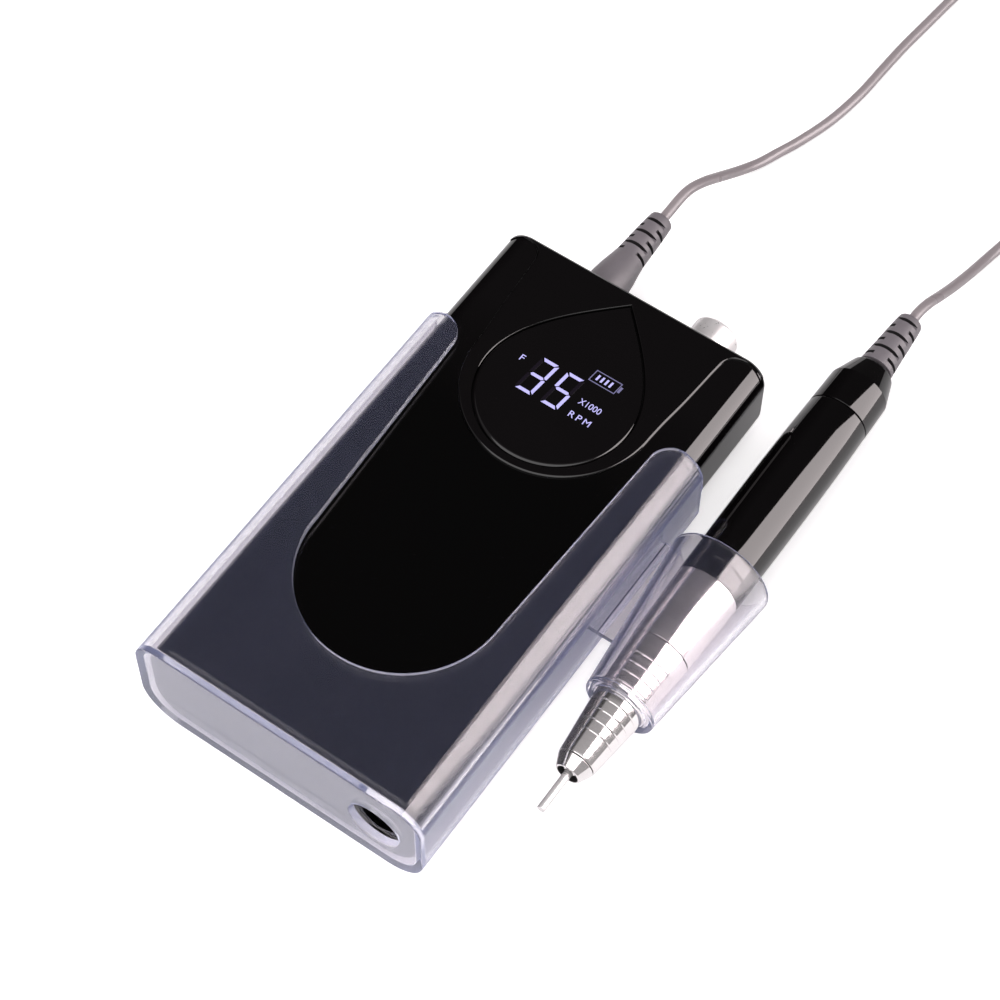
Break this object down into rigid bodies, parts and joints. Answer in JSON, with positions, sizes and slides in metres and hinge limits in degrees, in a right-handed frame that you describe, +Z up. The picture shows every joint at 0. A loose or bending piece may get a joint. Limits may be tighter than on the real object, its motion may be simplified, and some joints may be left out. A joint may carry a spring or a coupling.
{
  "type": "electric nail drill",
  "caption": "Portable electric nail drill: a flat control box with display and speed dial in a clear holster, and a pencil-like rotary handpiece on a coiled lead, lying in its holder.",
  "frame": {"origin": "middle of the clear holster's underside, on the table", "axes": "+X across the control box towards the handpiece holder, +Y along the box towards the end the lead leaves, +Z up"},
  "size_m": [0.1375, 0.3736, 0.0354],
  "materials": {
    "gloss_black": "high gloss black",
    "smoked_lens": "smoked gloss window",
    "dark_plastic": "moulded dark plastic",
    "board": "green circuit board",
    "cell_sleeve": "heat-shrunk film",
    "steel": "turned steel",
    "brass": "turned brass",
    "chrome": "satin chrome plating",
    "clear_plastic": "clear moulded polycarbonate",
    "grey_rubber": "moulded soft grey",
    "grey_lead": "satin grey cable jacket",
    "tie_fabric": "woven black strap"
  },
  "bodies": {
    "control_box": {"upper_shell": "gloss_black", "lower_shell": "gloss_black", "display_lens": "smoked_lens", "display_module": "dark_plastic", "main_board": "board", "battery_cell_left": "cell_sleeve", "battery_cell_right": "cell_sleeve", "charge_jack": "dark_plastic", "output_jack": "dark_plastic", "speed_pot": "steel", "case_screw_1": "steel", "case_screw_2": "steel", "case_screw_3": "steel", "case_screw_4": "steel", "cord_box_lead": "grey_lead", "cord_coil": "grey_lead", "cord_handpiece_lead": "grey_lead", "coil_tie": "tie_fabric"},
    "holster": {"clear_case": "clear_plastic", "handpiece_holder": "clear_plastic"},
    "handpiece": {"rear_cap": "gloss_black", "body_sleeve": "gloss_black", "front_housing": "chrome", "spindle_housing": "steel", "front_bearing": "steel", "rear_bearing": "steel", "collet_spring": "steel", "motor_can": "steel", "motor_end_cap": "dark_plastic", "handpiece_strain_relief": "grey_rubber"},
    "collar": {"twist_collar": "chrome", "nose_cap": "chrome"},
    "rotor": {"spindle": "steel", "drive_coupling": "dark_plastic", "motor_shaft": "steel"},
    "jaws": {"collet": "steel"},
    "bit": {"shank_pin": "steel"},
    "dial_shaft": {"pot_shaft": "brass"},
    "dial": {"speed_knob": "chrome"},
    "plug": {"plug_pin": "steel", "plug_body": "grey_rubber"}
  },
  "joints": [
    {"name": "holster_pull", "type": "slide", "parent": "control_box", "child": "holster", "axis": [0, -1, 0], "range_m": [0, 0.135]},
    {"name": "handpiece_pull", "type": "slide", "parent": "control_box", "child": "handpiece", "axis": [0, 1, 0], "range_m": [0, 0.085], "deforming": ["cord_handpiece_lead"]},
    {"name": "collar_twist", "type": "hinge", "parent": "handpiece", "child": "collar", "pos_m": [0.0621, 0, 0.0172], "axis": [0, 1, 0], "range_deg": [0, 60]},
    {"name": "spindle_spin", "type": "hinge", "parent": "handpiece", "child": "rotor", "pos_m": [0.0621, 0, 0.0172], "axis": [0, 1, 0], "continuous": true},
    {"name": "jaw_release", "type": "slide", "parent": "rotor", "child": "jaws", "axis": [0, -1, 0], "range_m": [0, 0.001]},
    {"name": "bit_pull", "type": "slide", "parent": "jaws", "child": "bit", "axis": [0, -1, 0], "range_m": [0, 0.034]},
    {"name": "speed_turn", "type": "hinge", "parent": "control_box", "child": "dial_shaft", "pos_m": [0.0197, 0, 0.017], "axis": [0, 1, 0], "range_deg": [0, 280]},
    {"name": "dial_press", "type": "slide", "parent": "dial_shaft", "child": "dial", "axis": [0, -1, 0], "range_m": [0, 0.0008], "stiffness_N_per_m": 500},
    {"name": "plug_pull", "type": "slide", "parent": "control_box", "child": "plug", "axis": [0, 1, 0], "range_m": [0, 0.014], "deforming": ["cord_box_lead"]}
  ],
  "couplings": [
    {"joint": "jaw_release", "follows": "collar_twist", "m_per_rad": 0.00095}
  ]
}
